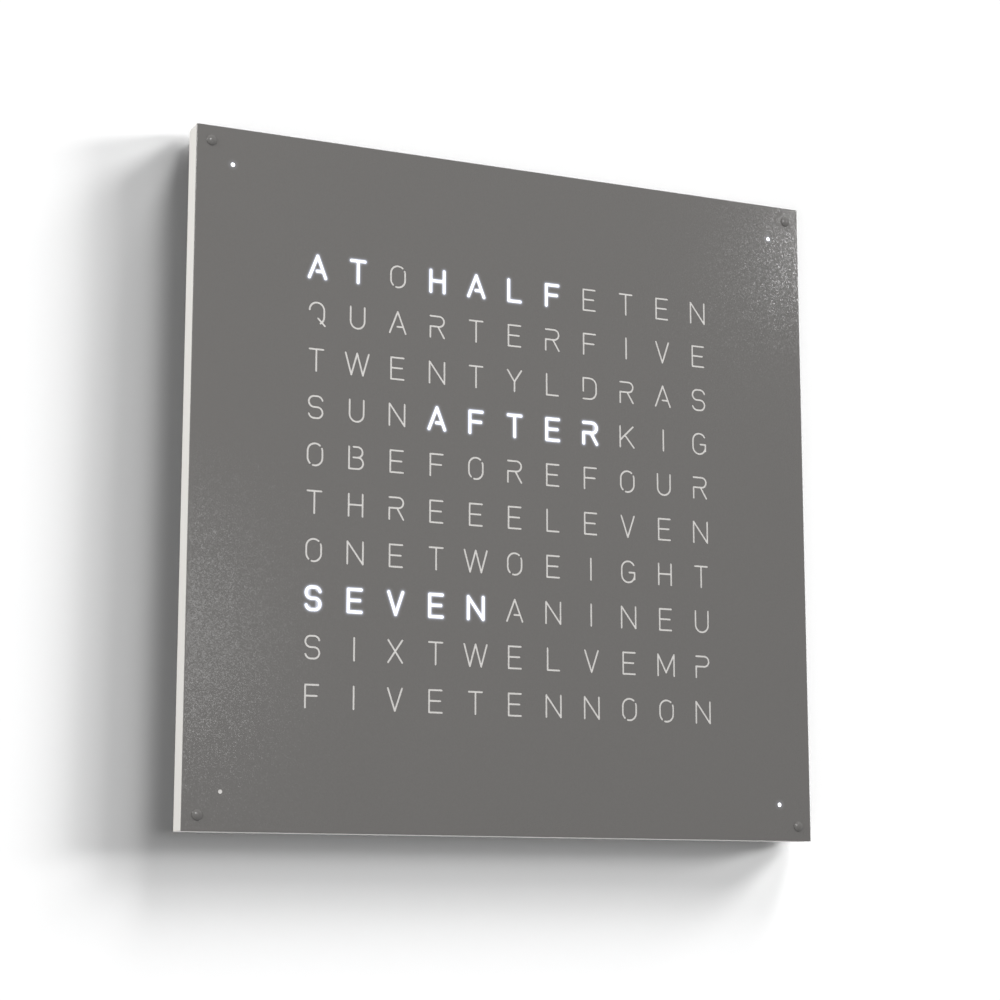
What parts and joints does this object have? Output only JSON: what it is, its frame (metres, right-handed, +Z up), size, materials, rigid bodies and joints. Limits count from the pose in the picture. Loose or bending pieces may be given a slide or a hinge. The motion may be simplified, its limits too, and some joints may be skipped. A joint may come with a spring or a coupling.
{
  "type": "word clock",
  "caption": "Thin square wall clock with a steel face, a white lacquered case, a lamp in a tapered well behind each letter and push buttons in its side.",
  "frame": {"origin": "middle of the back panel's rear face, which lies on the wall", "axes": "+Z up, +Y into the wall, +X to the viewer's right; the face looks along -Y"},
  "size_m": [0.451, 0.0218, 0.45],
  "materials": {
    "steel_coat": "fine-textured matt grey powder coat",
    "opal_film": "matt opal film",
    "white_lacquer": "smooth white lacquer on fibreboard",
    "nickel": "nickel plated",
    "moulded_white": "moulded matt white",
    "white_board": "white solder mask",
    "lamp": "moulded lamp body with a phosphor dish",
    "cable_jacket": "flat cable jacket",
    "green_board": "green solder mask",
    "black_plastic": "moulded black",
    "aluminium_can": "drawn can",
    "button_steel": "turned stainless steel",
    "hardboard": "smooth brown hardboard",
    "zinc_steel": "zinc plated"
  },
  "bodies": {
    "root": {"housing": "white_lacquer", "stud_magnets": "nickel", "light_well_panel": "moulded_white", "led_board": "white_board", "leds": "lamp", "minute_boards": "white_board", "minute_leds": "lamp", "minute_wires": "cable_jacket", "control_board": "green_board", "microcontroller": "black_plastic", "quartz_crystal": "nickel", "voltage_regulator": "black_plastic", "smoothing_capacitor": "aluminium_can", "coin_cell_holder": "black_plastic", "coin_cell": "nickel", "power_jack": "black_plastic", "jack_pin": "nickel", "ribbon_sockets": "black_plastic", "led_ribbon": "cable_jacket", "button_cable": "cable_jacket", "button_board": "green_board", "switch_bodies": "black_plastic", "back_panel": "hardboard", "panel_screws": "zinc_steel", "control_screws": "zinc_steel", "keyhole_plates": "zinc_steel", "keyhole_screws": "zinc_steel"},
    "cover": {"front_cover": "steel_coat", "cover_studs": "steel_coat", "letter_diffuser": "opal_film", "minute_diffusers": "opal_film"},
    "hours_key": {"hours_button": "button_steel", "hours_plunger": "black_plastic"},
    "minutes_key": {"minutes_button": "button_steel", "minutes_plunger": "black_plastic"},
    "mode_key": {"mode_button": "button_steel", "mode_plunger": "black_plastic"},
    "brightness_key": {"brightness_button": "button_steel", "brightness_plunger": "black_plastic"}
  },
  "joints": [
    {"name": "cover_pull", "type": "slide", "parent": "root", "child": "cover", "axis": [0, -1, 0], "range_m": [0, 0.06]},
    {"name": "hours_press", "type": "slide", "parent": "root", "child": "hours_key", "axis": [-1, 0, 0], "range_m": [0, 0.0005], "stiffness_N_per_m": 900, "springref_m": -0.0005},
    {"name": "minutes_press", "type": "slide", "parent": "root", "child": "minutes_key", "axis": [-1, 0, 0], "range_m": [0, 0.0005], "stiffness_N_per_m": 900, "springref_m": -0.0005},
    {"name": "mode_press", "type": "slide", "parent": "root", "child": "mode_key", "axis": [-1, 0, 0], "range_m": [0, 0.0005], "stiffness_N_per_m": 900, "springref_m": -0.0005},
    {"name": "brightness_press", "type": "slide", "parent": "root", "child": "brightness_key", "axis": [-1, 0, 0], "range_m": [0, 0.0005], "stiffness_N_per_m": 900, "springref_m": -0.0005}
  ]
}
